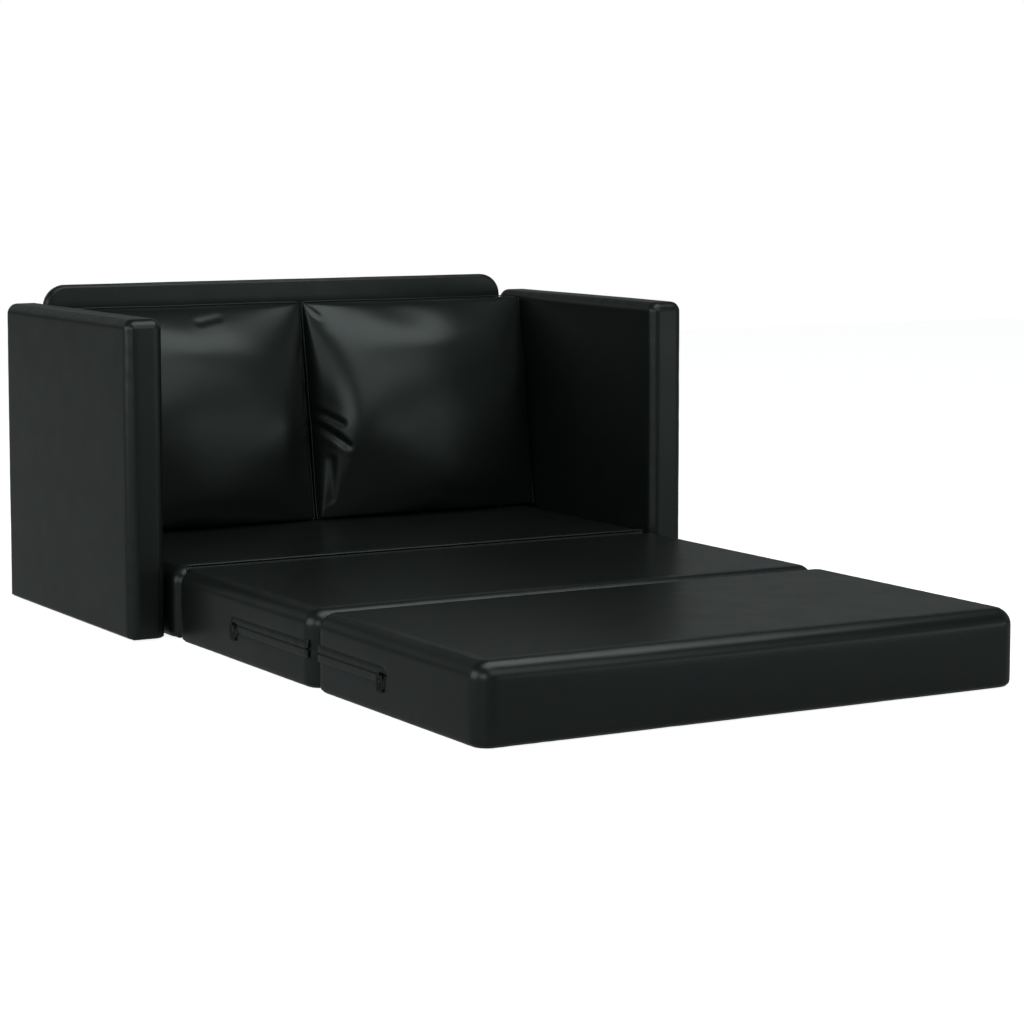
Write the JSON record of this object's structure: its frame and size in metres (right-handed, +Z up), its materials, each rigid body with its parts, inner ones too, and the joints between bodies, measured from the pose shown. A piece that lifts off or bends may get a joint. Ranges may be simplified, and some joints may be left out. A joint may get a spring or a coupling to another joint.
{
  "type": "futon sofa bed",
  "caption": "Low boxy two-seat sofa bed with upholstered arms, loose back cushions and a mattress that folds out forwards to the floor.",
  "frame": {"origin": "on the floor, under the middle of the unfolded bed's bounding box", "axes": "+Y from the bed's front edge to the back panel, +X to the right seen from the front, +Z up"},
  "size_m": [1.178, 1.734, 0.612],
  "materials": {
    "black_leather": "satin",
    "foam": "matte",
    "timber": "matte",
    "board": "matte",
    "lining_cloth": "matte",
    "zip_tape": "matte",
    "zip_plastic": "satin",
    "black_metal": "satin",
    "zinc_steel": "satin",
    "brass": "satin",
    "black_plastic": "matte"
  },
  "bodies": {
    "sofa_frame": {"left_arm_cover": "black_leather", "left_arm_foam": "foam", "left_arm_frame": "timber", "left_arm_panels": "board", "left_arm_bottom_cloth": "lining_cloth", "left_arm_feet": "black_plastic", "right_arm_cover": "black_leather", "right_arm_foam": "foam", "right_arm_frame": "timber", "right_arm_panels": "board", "right_arm_bottom_cloth": "lining_cloth", "right_arm_feet": "black_plastic", "back_cover": "black_leather", "back_foam": "foam", "back_board": "board", "corner_brackets": "zinc_steel", "bracket_screws": "zinc_steel", "base_cover": "black_leather", "base_foam": "foam", "base_board": "board", "base_frame": "timber", "base_bottom_cloth": "lining_cloth", "base_feet": "black_plastic", "base_bolts": "zinc_steel", "base_washers": "zinc_steel", "base_spacers": "black_plastic", "threaded_inserts": "brass", "rear_fold_welt": "black_leather"},
    "middle_section": {"middle_section_cover": "black_leather", "middle_section_foam": "foam", "rear_fold_flap": "black_leather", "front_fold_welt": "black_leather", "middle_zip_tape": "zip_tape", "middle_zip_teeth": "zip_plastic", "middle_zip_stops": "black_metal"},
    "front_section": {"front_section_cover": "black_leather", "front_section_foam": "foam", "front_fold_flap": "black_leather", "front_zip_tape": "zip_tape", "front_zip_teeth": "zip_plastic", "front_zip_stops": "black_metal"},
    "middle_slider": {"middle_zip_slider": "black_metal"},
    "middle_pull": {"middle_zip_pull": "black_metal"},
    "front_slider": {"front_zip_slider": "black_metal"},
    "front_pull": {"front_zip_pull": "black_metal"},
    "left_cushion": {"left_cushion_cover": "black_leather", "left_cushion_fill": "foam"},
    "right_cushion": {"right_cushion_cover": "black_leather", "right_cushion_fill": "foam"}
  },
  "joints": [
    {"name": "mattress_fold", "type": "hinge", "parent": "sofa_frame", "child": "middle_section", "pos_m": [0, 0.237, 0.134], "axis": [-1, 0, 0], "range_deg": [0, 180]},
    {"name": "front_fold", "type": "hinge", "parent": "middle_section", "child": "front_section", "pos_m": [0, -0.319, 0.0006], "axis": [1, 0, 0], "range_deg": [0, 180]},
    {"name": "left_cushion_carry", "type": "slide", "parent": "front_section", "child": "left_cushion", "axis": [0, -1, 0], "range_m": [0, 1.172]},
    {"name": "right_cushion_carry", "type": "slide", "parent": "front_section", "child": "right_cushion", "axis": [0, -1, 0], "range_m": [0, 1.172]},
    {"name": "middle_zip_open", "type": "slide", "parent": "middle_section", "child": "middle_slider", "axis": [0, -1, 0], "range_m": [0, 0.273]},
    {"name": "middle_pull_swing", "type": "hinge", "parent": "middle_slider", "child": "middle_pull", "pos_m": [-0.5085, -0.015, 0.06675], "axis": [1, 0, 0], "range_deg": [-90, 90]},
    {"name": "front_zip_open", "type": "slide", "parent": "front_section", "child": "front_slider", "axis": [0, 1, 0], "range_m": [0, 0.21]},
    {"name": "front_pull_swing", "type": "hinge", "parent": "front_slider", "child": "front_pull", "pos_m": [-0.5085, -0.56, 0.06675], "axis": [1, 0, 0], "range_deg": [-90, 90]}
  ],
  "couplings": [
    {"joint": "front_fold", "follows": "mattress_fold", "ratio": 1},
    {"joint": "left_cushion_carry", "follows": "mattress_fold", "m_per_rad": 0.37306},
    {"joint": "right_cushion_carry", "follows": "mattress_fold", "m_per_rad": 0.37306}
  ]
}
